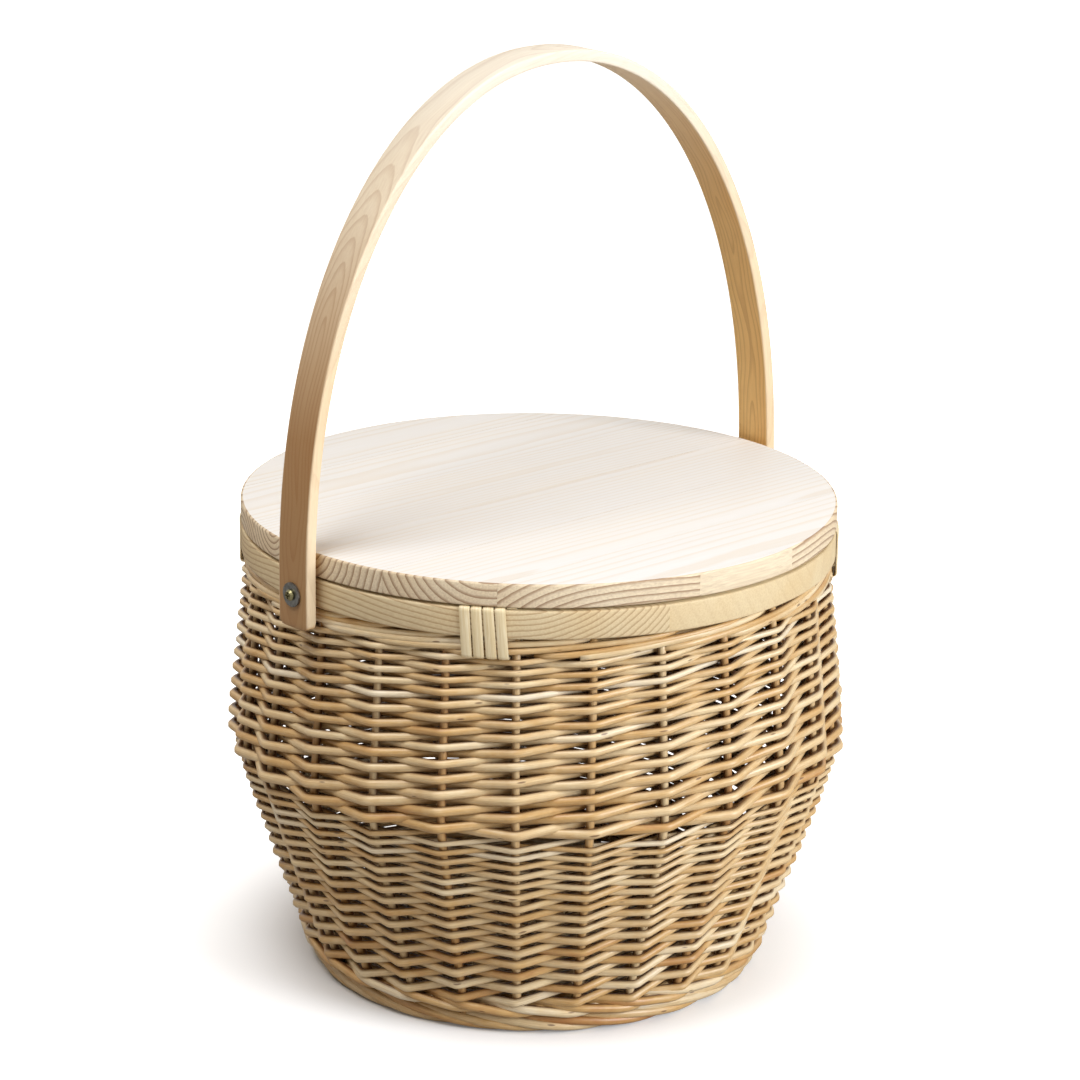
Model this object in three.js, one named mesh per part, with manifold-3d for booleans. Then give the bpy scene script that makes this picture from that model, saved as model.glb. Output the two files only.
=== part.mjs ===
// Round willow picnic basket with a pine lid and a bentwood swing handle.
// Millimetres, +Z up. The origin is on the floor under the middle of the basket.
// The handle swings about the X axis direction, and the lid lifts along +Z.

import * as THREE from 'three';
import { mergeVertices } from 'three/addons/utils/BufferGeometryUtils.js';
import Module from 'manifold-3d';

// Gap kept between neighbours that touch
const SEAT_GAP = 0.3;

// Lid, the size that the neck and the shoulder of the basket are given from
const LID_RADIUS = 180;

// Woven wall: its outside follows the fronts of the rods
const FOOT_RADIUS = 138.8;
const SHOULDER_BEYOND_LID = 10;
const NECK_INSIDE_LID = 2;
const SHOULDER_HEIGHT = 146;
const WALL_HEIGHT = 261;
const SHOULDER_SOFTNESS = 1;
const SPLIT_BELOW_SHOULDER = 6;

// Stakes
const STAKE_COUNT = 26;
const STAKE_DIAMETER = 4.8;
const STAKE_PHASE_DEG = 2.3;
const STAKE_BEND = 8;
const STAKE_SIDES = 5;

// Rods of the weave, and where the first and the last course lie from the edges of their siding
const ROD_DIAMETER = 4.2;
const STAKE_SHOW_DEPTH = 2.8;
const BAY_WALL = 3.5;
const LOWER_COURSES = { count: 14, aboveBottom: 4.6, belowTop: 4.9 };
const UPPER_COURSES = { count: 13, aboveBottom: 5.5, belowTop: 3 };
const COURSE_TAPER = 0.25;

// Bands of the wall, from the floor up
const FOOT_HEIGHT = 10;
const FOOT_WIDTH = 15;
const WALE_HEIGHT = 17;
const TOP_BORDER_HEIGHT = 11;
const BORDER_TWIST_DEPTH = 1.6;
const BORDER_LAPS = 26;

// Base
const BASE_THICKNESS = 5.5;
const BASE_DOME = 6;
const BASE_ROUND_PITCH = 26;
const BASE_ROUND_DEPTH = 1;
const STICK_DIAMETER = 4.5;
const STICK_ENDS = 14;
const STICK_MARGIN = 6;
const SLATH_SIZE = 34;

// Rim ring and lid boards
const LID_THICKNESS = 14;
const RING_WIDTH = 25;
const RING_THICKNESS = 17;
const EDGE_ROUND = 1.5;
const DISC_SEGMENTS = 56;
const BOARDS_PER_RADIUS = 3;
const FIRST_BOARD_WIDTH = 4;
const BATTEN_WIDTH = 28;
const BATTEN_THICKNESS = 8;
const BATTEN_FROM_EDGE = 85;
const BATTEN_CLEARANCE = 3;

// Cane bindings
const CANE_WIDTH = 6.3;
const CANE_THICKNESS = 1;
const CANE_PITCH = 6.8;
const CANE_TURNS = 4;
const CANE_CORNER = 2;
const CANE_STEPS_PER_TURN = 8;
const CANE_STAKES = [3, 10, 16, 23];
const CANE_BESIDE_STAKE = 1.1;
const CANE_TAIL = 6;

// Handle
const HANDLE_WIDTH = 26;
const HANDLE_THICKNESS = 7;
const HANDLE_TOP = 564;
const HANDLE_LEG_ABOVE_PIVOT = 9.5;
const HANDLE_TAIL = 20;
const HANDLE_ARCH_RATIO = 2.1;
const HANDLE_BEVEL = 1;
const HANDLE_CORNER = 4;
const HANDLE_ARCH_STEPS = 40;

// Pivot hardware
const SPACER_THICKNESS = 3.3;
const SPACER_RADIUS = 7.5;
const WASHER_THICKNESS = 1.2;
const WASHER_RADIUS = 7.3;
const SCREW_RADIUS = 1.75;
const SCREW_HEAD_RADIUS = 3.4;
const SCREW_HEAD_HEIGHT = 2.4;
const SCREW_IN_RING = 19;
const SCREW_POINT = 6;
const SCREW_HOLE_CLEARANCE = 0.35;
const RECESS_WIDTH = 0.9;
const RECESS_DEPTH = 1.2;
const HARDWARE_SIDES = 16;

// Heights and radii that follow from the sizes above
const SHOULDER_RADIUS = LID_RADIUS + SHOULDER_BEYOND_LID;
const NECK_RADIUS = LID_RADIUS - NECK_INSIDE_LID;
const RING_BOTTOM = WALL_HEIGHT + SEAT_GAP;
const RING_TOP = RING_BOTTOM + RING_THICKNESS;
const CANE_ROOM = CANE_THICKNESS + 2 * SEAT_GAP;
const LID_BOTTOM = RING_TOP + CANE_ROOM;
const RING_INNER = LID_RADIUS - RING_WIDTH;
const WALE_BOTTOM = FOOT_HEIGHT + SEAT_GAP;
const WALE_TOP = WALE_BOTTOM + WALE_HEIGHT;
const SHOULDER_SPLIT = SHOULDER_HEIGHT - SPLIT_BELOW_SHOULDER;
const BORDER_BOTTOM = WALL_HEIGHT - TOP_BORDER_HEIGHT;
const PIVOT_Z = (RING_BOTTOM + RING_TOP) / 2;
const BATTEN_X = LID_RADIUS - BATTEN_FROM_EDGE;
const SPACER_X = LID_RADIUS + SEAT_GAP;
const HANDLE_INNER_X = SPACER_X + SPACER_THICKNESS + SEAT_GAP;
const WASHER_X = HANDLE_INNER_X + HANDLE_THICKNESS + SEAT_GAP;
const SCREW_HEAD_X = WASHER_X + WASHER_THICKNESS + SEAT_GAP;
const STAKE_DEPTH = ROD_DIAMETER + STAKE_DIAMETER / 2;
const BAY_DIP = ROD_DIAMETER + STAKE_DIAMETER;
const BAY_SINK = BAY_DIP / 2;
const SHOULDER_ROWS = [SHOULDER_HEIGHT + STAKE_BEND, SHOULDER_HEIGHT, SHOULDER_HEIGHT - STAKE_BEND];
const TURN = 2 * Math.PI;

const wasm = await Module();
wasm.setup();

const wood = (color, roughness = 0.65) => new THREE.MeshStandardMaterial({ color, roughness, metalness: 0 });
const materials = {
  pine: wood('#f0e4cd', 0.6),
  ringPine: wood('#e6d5b5', 0.6),
  handleWood: wood('#d3ad74', 0.55),
  rod: wood('#cfa970', 0.55),
  paleRod: wood('#d9bd8c', 0.55),
  stake: wood('#c89c62', 0.6),
  cane: wood('#d8c292', 0.5),
  steel: new THREE.MeshStandardMaterial({ color: '#6a6a66', roughness: 0.35, metalness: 0.9 }),
  brass: new THREE.MeshStandardMaterial({ color: '#a08a50', roughness: 0.35, metalness: 0.9 }),
};

const basket = new THREE.Group();

function place(name, geometry, material) {
  const mesh = new THREE.Mesh(geometry, material);
  mesh.name = name;
  basket.add(mesh);
  return mesh;
}

// Solids for cutting and joining
function toSolid(geometry) {
  const bare = geometry.clone();
  bare.deleteAttribute('normal');
  bare.deleteAttribute('uv');
  const merged = mergeVertices(bare, 1e-4);
  return new wasm.Manifold(new wasm.Mesh({
    numProp: 3,
    vertProperties: new Float32Array(merged.attributes.position.array),
    triVerts: new Uint32Array(merged.index.array),
  }));
}

function toGeometry(solid) {
  const mesh = solid.getMesh();
  const geometry = new THREE.BufferGeometry();
  geometry.setAttribute('position', new THREE.BufferAttribute(new Float32Array(mesh.vertProperties), 3));
  geometry.setIndex(new THREE.BufferAttribute(new Uint32Array(mesh.triVerts), 1));
  geometry.computeVertexNormals();
  return geometry;
}

function boxSolid(lowX, highX, lowY, highY, lowZ, highZ) {
  const box = new THREE.BoxGeometry(highX - lowX, highY - lowY, highZ - lowZ);
  box.translate((lowX + highX) / 2, (lowY + highY) / 2, (lowZ + highZ) / 2);
  return toSolid(box);
}

// A turned solid about Z from a profile of [radius, z] that starts and ends on the axis, or closes
function turned(profile, segments) {
  const lathe = new THREE.LatheGeometry(profile.map(([r, z]) => new THREE.Vector2(r, z)), segments);
  lathe.rotateX(Math.PI / 2);
  return lathe;
}

// A cylinder along X between two places, used for holes and pins
function pinAlongX(radius, lowX, highX) {
  const pin = new THREE.CylinderGeometry(radius, radius, highX - lowX, HARDWARE_SIDES);
  pin.rotateZ(Math.PI / 2);
  pin.translate((lowX + highX) / 2, 0, PIVOT_Z);
  return pin;
}

// Skin over rings of points: ring i is joined to ring i + 1, and each ring closes on itself.
// Between two rings that cross, the first rows go up one row each, as the rods in a bay do.
function skin(rings, closed, crossingRows = 0, crosses = () => false) {
  const size = rings[0].length;
  const vertices = rings.flat(2);
  const faces = [];
  const spans = closed ? rings.length : rings.length - 1;
  for (let i = 0; i < spans; i++) {
    const here = i * size;
    const next = ((i + 1) % rings.length) * size;
    if (crosses(i)) {
      faces.push(...crossingFaces(here, next, crossingRows));
    }
    for (let k = crosses(i) ? crossingRows - 1 : 0; k < size; k++) {
      const m = (k + 1) % size;
      faces.push(here + k, next + k, next + m, here + k, next + m, here + m);
    }
  }
  if (!closed) {
    const last = (rings.length - 1) * size;
    for (let k = 1; k < size - 1; k++) {
      faces.push(0, k, k + 1, last, last + k + 1, last + k);
    }
  }
  const geometry = new THREE.BufferGeometry();
  geometry.setAttribute('position', new THREE.Float32BufferAttribute(vertices, 3));
  geometry.setIndex(faces);
  geometry.computeVertexNormals();
  return geometry;
}

// Faces between two rings whose odd rows are crests and whose even rows are hollows. An edge runs
// from each point to the one a row up, which is a rod, and the hollow on both sides stays open.
function crossingFaces(here, next, rows) {
  const faces = [here, next, next + 1];
  for (let row = 1; row < rows - 1; row++) {
    const [a, b] = [here + row, next + row];
    if (row % 2 === 1) {
      faces.push(a - 1, b, b + 1, a - 1, b + 1, a);
    } else {
      faces.push(a - 1, b, a, a, b, b + 1);
    }
  }
  faces.push(here + rows - 2, next + rows - 1, here + rows - 1);
  return faces;
}

// The wall's outside radius at a height: a straight flare up to the shoulder and a straight
// taper above it, with the corner between them softened
function wallRadius(z) {
  const flare = FOOT_RADIUS + (SHOULDER_RADIUS - FOOT_RADIUS) * (z / SHOULDER_HEIGHT);
  const above = (z - SHOULDER_HEIGHT) / (WALL_HEIGHT - SHOULDER_HEIGHT);
  const taper = SHOULDER_RADIUS + (NECK_RADIUS - SHOULDER_RADIUS) * above;
  return (flare + taper) / 2 - Math.hypot((flare - taper) / 2, SHOULDER_SOFTNESS);
}

const stakeRadius = (z) => wallRadius(z) - STAKE_DEPTH;
const stakeAngle = (index) => THREE.MathUtils.degToRad(STAKE_PHASE_DEG) + (TURN * index) / STAKE_COUNT;
const polar = (radius, angle, z) => [radius * Math.cos(angle), radius * Math.sin(angle), z];

// Heights of the courses in a siding: far apart over the thick butts, close at the thin tips
function courseHeights(bottom, top, { count, aboveBottom, belowTop }) {
  const first = bottom + aboveBottom;
  const last = top - belowTop;
  return Array.from({ length: count }, (_, course) => {
    const along = course / (count - 1);
    return first + (last - first) * along * (1 + COURSE_TAPER * (1 - along));
  });
}

// Columns of points for each stake. At the stake a rod bulges in front of it at every course, and
// the stake shows between two courses. A quarter of a bay to either side the rod has gone in by a
// quarter of its dip, and below it lies the rod that passes behind the stake. All rods rise by
// half a pitch in a bay.
const IN_THE_BAY = { crest: BAY_DIP / 4, hollow: (3 * BAY_DIP) / 4, inside: BAY_SINK + BAY_WALL };
const COLUMNS = [
  { bays: 0, rise: 0, crest: 0, hollow: STAKE_SHOW_DEPTH, inside: ROD_DIAMETER - SEAT_GAP },
  { bays: 0.25, rise: 1 / 8, ...IN_THE_BAY },
  { bays: 0.75, rise: -1 / 8, ...IN_THE_BAY },
];

// One siding as a closed ring: rods woven in front of one stake and behind the next
function siding(bottom, top, courses) {
  const heights = courseHeights(bottom, top, courses);
  const insideRows = [top, ...SHOULDER_ROWS.filter((z) => z > bottom && z < top), bottom];
  const rings = [];
  for (let stakeIndex = 0; stakeIndex < STAKE_COUNT; stakeIndex++) {
    for (const { bays, rise, crest, hollow, inside } of COLUMNS) {
      const angle = stakeAngle(stakeIndex + bays);
      const point = (z, depth) => polar(wallRadius(z) - depth, angle, z);
      const outside = [point(bottom, hollow)];
      heights.forEach((z, course) => {
        const next = heights[course + 1] ?? 2 * top - z;
        outside.push(point(z + rise * (next - z), crest));
        outside.push(point(z + (rise + 1 / 2) * (next - z), hollow));
      });
      outside[outside.length - 1] = point(top, hollow);
      rings.push([...outside, ...insideRows.map((z) => point(z, inside))]);
    }
  }
  return skin(rings, true, 2 * heights.length + 1, (column) => column % COLUMNS.length === 1);
}

// A twisted border: a ring of rounded section whose outside swells and sinks with the laid rods
function twistedRing(section, laps) {
  const rings = [];
  const columns = 2 * laps;
  for (let column = 0; column < columns; column++) {
    const swell = column % 2 === 0 ? 0 : 1;
    const angle = stakeAngle((column * STAKE_COUNT) / columns);
    rings.push(section(swell, column % 2 === 0).map(([r, z]) => polar(r, angle, z)));
  }
  return skin(rings, true);
}

function borderOutsideStakes(bottom, top) {
  return twistedRing((sunk, atStake) => {
    const inset = atStake ? 0 : BAY_SINK - BORDER_TWIST_DEPTH;
    const insideDepth = atStake ? ROD_DIAMETER - SEAT_GAP : BAY_SINK + BAY_WALL;
    const lean = sunk ? 0.3 : -0.3;
    const middle = (bottom + top) / 2 + lean * ROD_DIAMETER;
    const outside = (z, depth) => [wallRadius(z) - inset - depth, z];
    return [
      outside(bottom, BORDER_TWIST_DEPTH),
      outside((bottom + middle) / 2, 0),
      outside(middle, BORDER_TWIST_DEPTH),
      outside((middle + top) / 2, 0),
      outside(top, BORDER_TWIST_DEPTH),
      [wallRadius(top) - insideDepth, top],
      [wallRadius(bottom) - insideDepth, bottom],
    ];
  }, BORDER_LAPS);
}

// Foot border: a plaited ring with a flat underside
function footBorder() {
  return twistedRing((sunk) => {
    const outer = wallRadius(FOOT_HEIGHT) - sunk * BORDER_TWIST_DEPTH;
    const inner = wallRadius(0) - FOOT_WIDTH;
    const round = FOOT_HEIGHT / 3;
    return [
      [outer - round, 0],
      [outer - round / 4, round / 2],
      [outer, FOOT_HEIGHT / 2 + (sunk ? round / 2 : -round / 4)],
      [outer - round / 2, FOOT_HEIGHT],
      [inner + round / 2, FOOT_HEIGHT],
      [inner, FOOT_HEIGHT / 2],
      [inner + round, 0],
    ];
  }, BORDER_LAPS);
}

// Stake: a round rod that follows the wall, standing on the foot border and ending under the ring
function stake(index) {
  const angle = stakeAngle(index);
  const heights = [WALL_HEIGHT, ...SHOULDER_ROWS, WALE_BOTTOM];
  const rings = heights.map((z) => Array.from({ length: STAKE_SIDES }, (_, side) => {
    const around = (TURN * side) / STAKE_SIDES;
    const outward = (STAKE_DIAMETER / 2) * Math.cos(around);
    const sideways = (STAKE_DIAMETER / 2) * Math.sin(around);
    const [x, y] = polar(stakeRadius(z) + outward, angle, z);
    return [x - sideways * Math.sin(angle), y + sideways * Math.cos(angle), z];
  }));
  return skin(rings, false);
}

// Base: a woven disc with its rounds as ripples. It rests on the foot border and rises to the
// middle, so that only the foot border touches the floor.
const baseRadius = () => stakeRadius(WALE_BOTTOM) - STAKE_DIAMETER / 2 - SEAT_GAP;

function baseWeave() {
  const radius = baseRadius();
  const dome = (r) => BASE_DOME * (1 - r / radius);
  const rounds = Math.round((radius - SLATH_SIZE / 2) / BASE_ROUND_PITCH);
  const rippled = (level, ripple) => {
    const points = [];
    for (let k = 0; k <= 2 * rounds; k++) {
      const r = radius - (k * (radius - SLATH_SIZE / 2)) / (2 * rounds);
      points.push([r, level + dome(r) + (k % 2) * ripple]);
    }
    return points;
  };
  const under = rippled(WALE_BOTTOM, BASE_ROUND_DEPTH).reverse();
  const over = rippled(WALE_BOTTOM + BASE_THICKNESS, -BASE_ROUND_DEPTH);
  const middleLow = [0, WALE_BOTTOM + BASE_DOME];
  const middleHigh = [0, WALE_BOTTOM + BASE_THICKNESS + BASE_DOME];
  return turned([middleLow, ...under, ...over, middleHigh], STAKE_COUNT);
}

// Base sticks: three through four, opened out into fourteen even spokes that lie on the disc
function baseSticks() {
  const start = SLATH_SIZE / 4;
  const length = baseRadius() - STICK_MARGIN;
  const top = WALE_BOTTOM + BASE_THICKNESS + BASE_DOME + SEAT_GAP;
  const half = STICK_DIAMETER / 2;
  const lean = Math.atan(BASE_DOME / baseRadius());
  const long = SLATH_SIZE / 2;
  const wide = SLATH_SIZE / 3;
  let sticks = boxSolid(-long, long, -wide, wide, top, top + STICK_DIAMETER);
  sticks = sticks.add(boxSolid(-wide, wide, -long, long, top, top + half));
  for (let end = 0; end < STICK_ENDS; end++) {
    const spoke = new THREE.CylinderGeometry(half, half, length - start, 6);
    spoke.rotateZ(-Math.PI / 2);
    spoke.translate((start + length) / 2, 0, 0);
    spoke.rotateY(lean);
    spoke.rotateZ((TURN * (end + 0.5)) / STICK_ENDS);
    spoke.translate(0, 0, top + half / Math.cos(lean));
    sticks = sticks.add(toSolid(spoke));
  }
  return toGeometry(sticks);
}

// Cane binding: flat cane wound round the ring and the top border as one unbroken strip.
// Its section travels round a rounded rectangle in the plane of radius and height, and moves
// along the ring by one pitch each turn.
function caneRoute(turn) {
  const inner = RING_INNER - SEAT_GAP - CANE_THICKNESS / 2;
  const outer = LID_RADIUS + SEAT_GAP + CANE_THICKNESS / 2;
  const low = BORDER_BOTTOM - SEAT_GAP - CANE_THICKNESS / 2;
  const high = RING_TOP + SEAT_GAP + CANE_THICKNESS / 2;
  const corners = [[inner, high], [outer, high], [outer, low], [inner, low]];
  const centre = [(inner + outer) / 2, (low + high) / 2];
  const perSide = CANE_STEPS_PER_TURN / corners.length;
  const index = ((turn % CANE_STEPS_PER_TURN) + CANE_STEPS_PER_TURN) % CANE_STEPS_PER_TURN;
  const corner = corners[Math.floor(index / perSide)];
  const next = corners[(Math.floor(index / perSide) + 1) % corners.length];
  const previous = corners[(Math.floor(index / perSide) + corners.length - 1) % corners.length];
  const toward = (a, b) => [Math.sign(b[0] - a[0]), Math.sign(b[1] - a[1])];
  const back = toward(corner, previous);
  const ahead = toward(corner, next);
  const along = (index % perSide) / (perSide - 1);
  const bend = (Math.PI / 2) * along;
  const arc = [CANE_CORNER * (1 - Math.sin(bend)), CANE_CORNER * (1 - Math.cos(bend))];
  const point = [
    corner[0] + back[0] * arc[0] + ahead[0] * arc[1],
    corner[1] + back[1] * arc[0] + ahead[1] * arc[1],
  ];
  const normal = [
    -(back[0] * Math.sin(bend) + ahead[0] * Math.cos(bend)),
    -(back[1] * Math.sin(bend) + ahead[1] * Math.cos(bend)),
  ];
  const outward = normal[0] * (point[0] - centre[0]) + normal[1] * (point[1] - centre[1]) > 0 ? 1 : -1;
  return { point, normal: [normal[0] * outward, normal[1] * outward] };
}

function caneBinding(stakeIndex) {
  const halfWidth = CANE_WIDTH / 2;
  const span = CANE_PITCH * (CANE_TURNS - 1);
  const edge = STAKE_DIAMETER / 2 + CANE_BESIDE_STAKE + halfWidth;
  const firstAngle = stakeAngle(stakeIndex) - (edge + span) / LID_RADIUS;
  const rings = [];
  const ringAt = ({ point, normal }, travel) => {
    const corner = (across, out) => {
      const angle = firstAngle + (travel * CANE_PITCH + across) / LID_RADIUS;
      const radius = point[0] + normal[0] * out;
      return polar(radius, angle, point[1] + normal[1] * out);
    };
    const half = CANE_THICKNESS / 2;
    return [
      corner(-halfWidth, -half),
      corner(halfWidth, -half),
      corner(halfWidth, half),
      corner(-halfWidth, half),
    ];
  };
  const steps = CANE_TURNS * CANE_STEPS_PER_TURN;
  const { point, normal } = caneRoute(0);
  const tail = { point: [point[0], point[1] - CANE_TAIL], normal };
  rings.push(ringAt(tail, -0.5));
  for (let step = 0; step < steps; step++) {
    rings.push(ringAt(caneRoute(step), step / CANE_STEPS_PER_TURN - 0.5));
  }
  rings.push(ringAt(tail, CANE_TURNS - 0.5));
  return { geometry: skin([...rings].reverse(), false), rings };
}

// Least gap of a binding to itself, measured between section corners of neighbouring turns
function leastGap(rings) {
  let least = Infinity;
  for (let i = 0; i < rings.length; i++) {
    for (let j = i + CANE_STEPS_PER_TURN / 2; j < rings.length; j++) {
      for (const a of rings[i]) {
        for (const b of rings[j]) {
          least = Math.min(least, Math.hypot(a[0] - b[0], a[1] - b[1], a[2] - b[2]));
        }
      }
    }
  }
  return least;
}

// Slot that a binding passes through, in the top edge of the upper siding
function caneSlot(stakeIndex) {
  const span = CANE_PITCH * CANE_TURNS + CANE_WIDTH;
  const middle = stakeAngle(stakeIndex) - (STAKE_DIAMETER / 2 + CANE_BESIDE_STAKE + span / 2) / LID_RADIUS;
  const depth = CANE_ROOM + SEAT_GAP;
  const slot = new THREE.BoxGeometry(LID_RADIUS, span + 2 * CANE_BESIDE_STAKE, 2 * depth);
  slot.translate(LID_RADIUS, 0, BORDER_BOTTOM);
  slot.rotateZ(middle);
  return toSolid(slot);
}

// Turned board with a softened edge, from which the lid's boards and the ring are cut
function roundedDisc(radius, low, high) {
  const soft = EDGE_ROUND * (1 - Math.SQRT1_2);
  return turned([
    [0, low],
    [radius - EDGE_ROUND, low],
    [radius - soft, low + soft],
    [radius, low + EDGE_ROUND],
    [radius, high - EDGE_ROUND],
    [radius - soft, high - soft],
    [radius - EDGE_ROUND, high],
    [0, high],
  ], DISC_SEGMENTS);
}

function rimRing() {
  const inner = RING_INNER;
  const outer = LID_RADIUS;
  const r = EDGE_ROUND;
  const profile = [
    [inner + r, RING_BOTTOM], [outer - r, RING_BOTTOM], [outer, RING_BOTTOM + r], [outer, RING_TOP - r],
    [outer - r, RING_TOP], [inner + r, RING_TOP], [inner, RING_TOP - r], [inner, RING_BOTTOM + r],
    [inner + r, RING_BOTTOM],
  ];
  let ring = toSolid(turned(profile, DISC_SEGMENTS));
  const holeRadius = SCREW_RADIUS + SCREW_HOLE_CLEARANCE;
  const depth = SCREW_IN_RING + SEAT_GAP;
  ring = ring.subtract(toSolid(pinAlongX(holeRadius, LID_RADIUS - depth, LID_RADIUS + 1)));
  ring = ring.subtract(toSolid(pinAlongX(holeRadius, -LID_RADIUS - 1, depth - LID_RADIUS)));
  return toGeometry(ring);
}

// Handle: the strap's side outline is a band of even thickness along two straight legs and an arch
function handleLine() {
  const middleX = HANDLE_INNER_X + HANDLE_THICKNESS / 2;
  const archZ = PIVOT_Z + HANDLE_LEG_ABOVE_PIVOT;
  const archHeight = HANDLE_TOP - HANDLE_THICKNESS / 2 - archZ;
  const power = 2 / HANDLE_ARCH_RATIO;
  const points = [new THREE.Vector2(middleX, PIVOT_Z - HANDLE_TAIL), new THREE.Vector2(middleX, archZ)];
  for (let step = 1; step < HANDLE_ARCH_STEPS; step++) {
    const u = (Math.PI * step) / HANDLE_ARCH_STEPS;
    const x = middleX * Math.sign(Math.cos(u)) * Math.abs(Math.cos(u)) ** power;
    points.push(new THREE.Vector2(x, archZ + archHeight * Math.sin(u) ** power));
  }
  points.push(new THREE.Vector2(-middleX, archZ), new THREE.Vector2(-middleX, PIVOT_Z - HANDLE_TAIL));
  return points;
}

function handleStrap() {
  const line = handleLine();
  const sideLine = (offset) => line.map((point, i) => {
    const before = line[Math.max(i - 1, 0)];
    const after = line[Math.min(i + 1, line.length - 1)];
    const along = after.clone().sub(before).normalize();
    return new THREE.Vector2(point.x + along.y * offset, point.y - along.x * offset);
  });
  const outline = new THREE.Shape([
    ...sideLine(HANDLE_THICKNESS / 2),
    ...sideLine(-HANDLE_THICKNESS / 2).reverse(),
  ]);
  const strap = new THREE.ExtrudeGeometry(outline, {
    depth: HANDLE_WIDTH - 2 * HANDLE_BEVEL,
    bevelThickness: HANDLE_BEVEL,
    bevelSize: HANDLE_BEVEL,
    bevelOffset: -HANDLE_BEVEL,
    bevelSegments: 1,
  });
  strap.translate(0, 0, HANDLE_BEVEL - HANDLE_WIDTH / 2);
  strap.rotateX(Math.PI / 2);
  const half = HANDLE_WIDTH / 2 + 1;
  const low = PIVOT_Z - HANDLE_TAIL;
  const side = new THREE.Shape();
  side.moveTo(-half, HANDLE_TOP + 1);
  side.lineTo(-half, low + HANDLE_CORNER + 1);
  side.lineTo(-half + HANDLE_CORNER + 1, low);
  side.lineTo(half - HANDLE_CORNER - 1, low);
  side.lineTo(half, low + HANDLE_CORNER + 1);
  side.lineTo(half, HANDLE_TOP + 1);
  const reach = HANDLE_INNER_X + HANDLE_THICKNESS + 1;
  const sideView = new THREE.ExtrudeGeometry(side, { depth: 2 * reach, bevelEnabled: false });
  sideView.rotateX(Math.PI / 2);
  sideView.rotateZ(Math.PI / 2);
  sideView.translate(-reach, 0, 0);
  const hole = pinAlongX(SCREW_RADIUS + SCREW_HOLE_CLEARANCE, -reach, reach);
  return toGeometry(toSolid(strap).intersect(toSolid(sideView)).subtract(toSolid(hole)));
}

// Pivot hardware, made for the +X side and turned half round for the other
function washer(radius, lowX, thickness) {
  const hole = SCREW_RADIUS + SCREW_HOLE_CLEARANCE;
  const ring = turned([
    [hole, lowX], [radius, lowX], [radius, lowX + thickness], [hole, lowX + thickness], [hole, lowX],
  ], HARDWARE_SIDES);
  ring.rotateY(Math.PI / 2);
  ring.translate(0, 0, PIVOT_Z);
  return ring;
}

function pivotScrew() {
  const tip = LID_RADIUS - SCREW_IN_RING;
  const crown = SCREW_HEAD_X + SCREW_HEAD_HEIGHT;
  const screw = turned([
    [0, tip],
    [SCREW_RADIUS, tip + SCREW_POINT],
    [SCREW_RADIUS, SCREW_HEAD_X],
    [SCREW_HEAD_RADIUS, SCREW_HEAD_X],
    [SCREW_HEAD_RADIUS, SCREW_HEAD_X + SCREW_HEAD_HEIGHT / 3],
    [SCREW_HEAD_RADIUS * 0.7, crown - SCREW_HEAD_HEIGHT / 6],
    [0, crown],
  ], HARDWARE_SIDES);
  screw.rotateY(Math.PI / 2);
  screw.translate(0, 0, PIVOT_Z);
  const long = SCREW_HEAD_RADIUS * 0.6;
  const short = RECESS_WIDTH / 2;
  const bottom = crown - RECESS_DEPTH;
  const upright = boxSolid(bottom, crown + 1, -short, short, PIVOT_Z - long, PIVOT_Z + long);
  const level = boxSolid(bottom, crown + 1, -long, long, PIVOT_Z - short, PIVOT_Z + short);
  return toGeometry(toSolid(screw).subtract(upright.add(level)));
}

// The basket, from the floor up
place('foot_border', footBorder(), materials.rod);
place('base_weave', baseWeave(), materials.rod);
place('base_sticks', baseSticks(), materials.stake);
for (let index = 0; index < STAKE_COUNT; index++) {
  place(`stake_${String(index + 1).padStart(2, '0')}`, stake(index), materials.stake);
}
place('bottom_wale', borderOutsideStakes(WALE_BOTTOM, WALE_TOP), materials.rod);
place('lower_siding', siding(WALE_TOP + SEAT_GAP, SHOULDER_SPLIT, LOWER_COURSES), materials.paleRod);
let upperSiding = toSolid(siding(SHOULDER_SPLIT + SEAT_GAP, BORDER_BOTTOM - SEAT_GAP, UPPER_COURSES));
for (const stakeIndex of CANE_STAKES) {
  upperSiding = upperSiding.subtract(caneSlot(stakeIndex));
}
place('upper_siding', toGeometry(upperSiding), materials.rod);
place('top_border', borderOutsideStakes(BORDER_BOTTOM, WALL_HEIGHT), materials.paleRod);
place('rim_ring', rimRing(), materials.ringPine);
CANE_STAKES.forEach((stakeIndex, k) => {
  const { geometry, rings } = caneBinding(stakeIndex);
  place(`cane_binding_${k + 1}`, geometry, materials.cane);
  console.log(`cane_binding_${k + 1}: least gap to itself ${leastGap(rings).toFixed(2)} mm`);
});

// The handle and its pivots
place('handle_strap', handleStrap(), materials.handleWood);
for (const [side, half] of [['right', 0], ['left', Math.PI]]) {
  const outer = washer(WASHER_RADIUS, WASHER_X, WASHER_THICKNESS);
  const spacer = washer(SPACER_RADIUS, SPACER_X, SPACER_THICKNESS);
  place(`pivot_screw_${side}`, pivotScrew(), materials.brass).rotation.z = half;
  place(`outer_washer_${side}`, outer, materials.steel).rotation.z = half;
  place(`spacer_washer_${side}`, spacer, materials.steel).rotation.z = half;
}

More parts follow.
